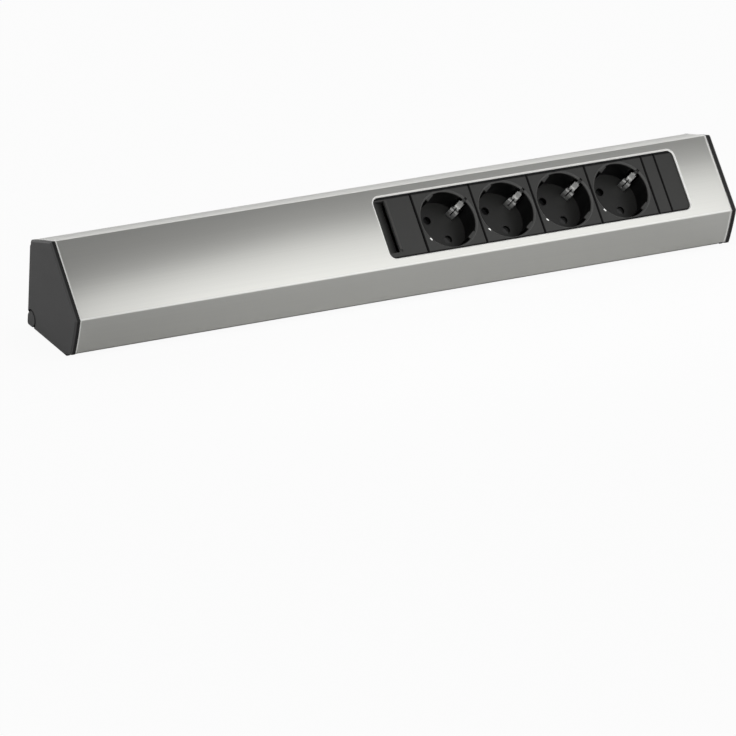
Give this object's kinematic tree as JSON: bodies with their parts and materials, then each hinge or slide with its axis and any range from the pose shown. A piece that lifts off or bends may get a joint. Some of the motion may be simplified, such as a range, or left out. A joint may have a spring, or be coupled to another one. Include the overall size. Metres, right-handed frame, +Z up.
{
  "type": "desk power strip",
  "caption": "Corner power strip for a desk: slanted aluminium housing with dark end caps, earthed shuttered sockets, a cable outlet and blank modules.",
  "frame": {"origin": "middle of the strip's length and depth, on the worktop", "axes": "+X along the strip towards its sockets' end, -Y towards the user, +Z up; the back plate stands at y = +0.03505"},
  "size_m": [0.504, 0.0702, 0.0702],
  "materials": {
    "anodised_aluminium": "satin natural anodised, fine lines along the profile",
    "cap_plastic": "dark grey, fine matte",
    "module_plastic": "anthracite, matte plates and smoother recesses",
    "shutter_plastic": "dark grey, smooth",
    "inner_plastic": "black, plain",
    "plated_brass": "bright nickel plate",
    "contact_brass": "plain brass strip",
    "screw_steel": "zinc-plated steel",
    "live_insulation": "brown",
    "neutral_insulation": "blue",
    "earth_insulation": "green and yellow, taken as one colour"
  },
  "bodies": {
    "housing": {"housing_cover": "anodised_aluminium", "housing_base": "anodised_aluminium", "end_cap_left": "cap_plastic", "end_cap_right": "cap_plastic", "cable_plug": "cap_plastic", "cable_bushing": "cap_plastic", "cable_outlet": "module_plastic", "narrow_filler": "module_plastic", "wide_filler": "module_plastic", "socket_1_insert": "module_plastic", "socket_1_spring": "screw_steel", "socket_1_earth_clip": "plated_brass", "socket_1_live_contact": "contact_brass", "socket_1_neutral_contact": "contact_brass", "socket_1_base": "inner_plastic", "socket_2_insert": "module_plastic", "socket_2_spring": "screw_steel", "socket_2_earth_clip": "plated_brass", "socket_2_live_contact": "contact_brass", "socket_2_neutral_contact": "contact_brass", "socket_2_base": "inner_plastic", "socket_3_insert": "module_plastic", "socket_3_spring": "screw_steel", "socket_3_earth_clip": "plated_brass", "socket_3_live_contact": "contact_brass", "socket_3_neutral_contact": "contact_brass", "socket_3_base": "inner_plastic", "socket_4_insert": "module_plastic", "socket_4_spring": "screw_steel", "socket_4_earth_clip": "plated_brass", "socket_4_live_contact": "contact_brass", "socket_4_neutral_contact": "contact_brass", "socket_4_base": "inner_plastic", "live_wire": "live_insulation", "neutral_wire": "neutral_insulation", "earth_wire": "earth_insulation", "terminal_block": "inner_plastic", "row_stop_left": "inner_plastic", "row_stop_right": "inner_plastic", "cord_clamp": "inner_plastic", "cord_clamp_screw": "screw_steel", "earth_tag": "contact_brass", "earth_screw": "screw_steel"},
    "shutter_1": {"socket_1_shutter": "shutter_plastic"},
    "shutter_2": {"socket_2_shutter": "shutter_plastic"},
    "shutter_3": {"socket_3_shutter": "shutter_plastic"},
    "shutter_4": {"socket_4_shutter": "shutter_plastic"}
  },
  "joints": [
    {"name": "shutter_1_turn", "type": "hinge", "parent": "housing", "child": "shutter_1", "pos_m": [0.0369, 0.00332, 0.03233], "axis": [0, -0.7071, 0.7071], "range_deg": [0, 40], "stiffness_Nm_per_rad": 0.003, "springref_deg": -9.74, "deforming": ["socket_1_spring"]},
    {"name": "shutter_2_turn", "type": "hinge", "parent": "housing", "child": "shutter_2", "pos_m": [0.0819, 0.00332, 0.03233], "axis": [0, -0.7071, 0.7071], "range_deg": [0, 40], "stiffness_Nm_per_rad": 0.003, "springref_deg": -9.74, "deforming": ["socket_2_spring"]},
    {"name": "shutter_3_turn", "type": "hinge", "parent": "housing", "child": "shutter_3", "pos_m": [0.1269, 0.00332, 0.03233], "axis": [0, -0.7071, 0.7071], "range_deg": [0, 40], "stiffness_Nm_per_rad": 0.003, "springref_deg": -9.74, "deforming": ["socket_3_spring"]},
    {"name": "shutter_4_turn", "type": "hinge", "parent": "housing", "child": "shutter_4", "pos_m": [0.1719, 0.00332, 0.03233], "axis": [0, -0.7071, 0.7071], "range_deg": [0, 40], "stiffness_Nm_per_rad": 0.003, "springref_deg": -9.74, "deforming": ["socket_4_spring"]}
  ]
}
